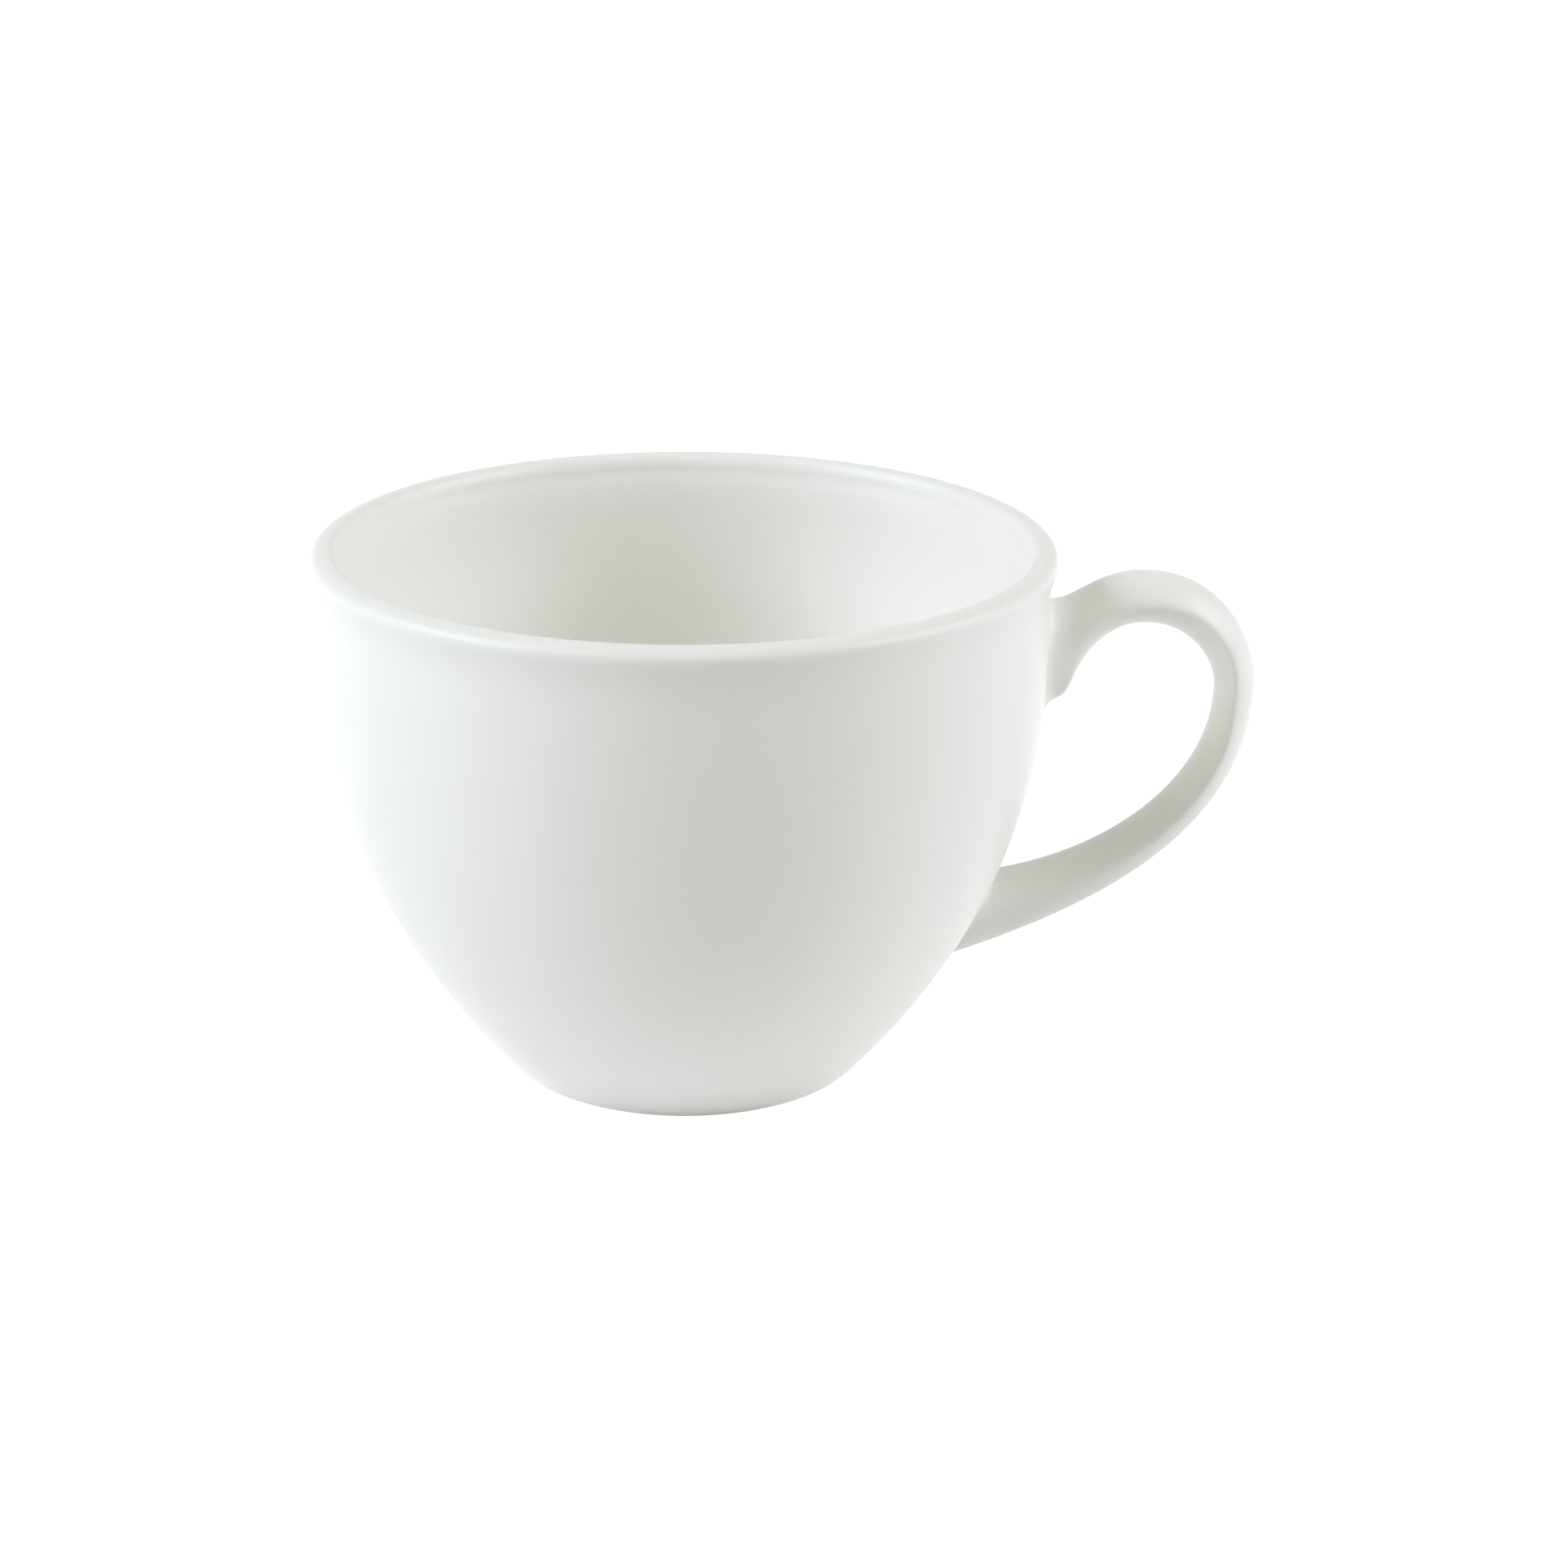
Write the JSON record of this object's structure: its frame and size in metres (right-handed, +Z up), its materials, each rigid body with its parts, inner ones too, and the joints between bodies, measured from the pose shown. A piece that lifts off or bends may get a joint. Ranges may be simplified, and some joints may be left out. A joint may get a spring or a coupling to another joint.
{
  "type": "coffee cup",
  "caption": "White glazed coffee cup with a rounded bowl, a slightly flared lip, a low foot ring and a cast loop handle with a small finger spur.",
  "frame": {"origin": "centre of the foot ring, on the surface that the cup stands on", "axes": "+Z up out of the mouth, +X from the bowl's axis out through the handle, +Y square to the handle's plane"},
  "size_m": [0.1156, 0.09, 0.0662],
  "materials": {
    "white_glaze": "gloss",
    "slip_glaze": "gloss"
  },
  "bodies": {
    "root": {"bowl": "white_glaze", "foot_ring": "white_glaze", "handle": "white_glaze", "upper_handle_joint": "slip_glaze", "lower_handle_joint": "slip_glaze"}
  },
  "joints": []
}
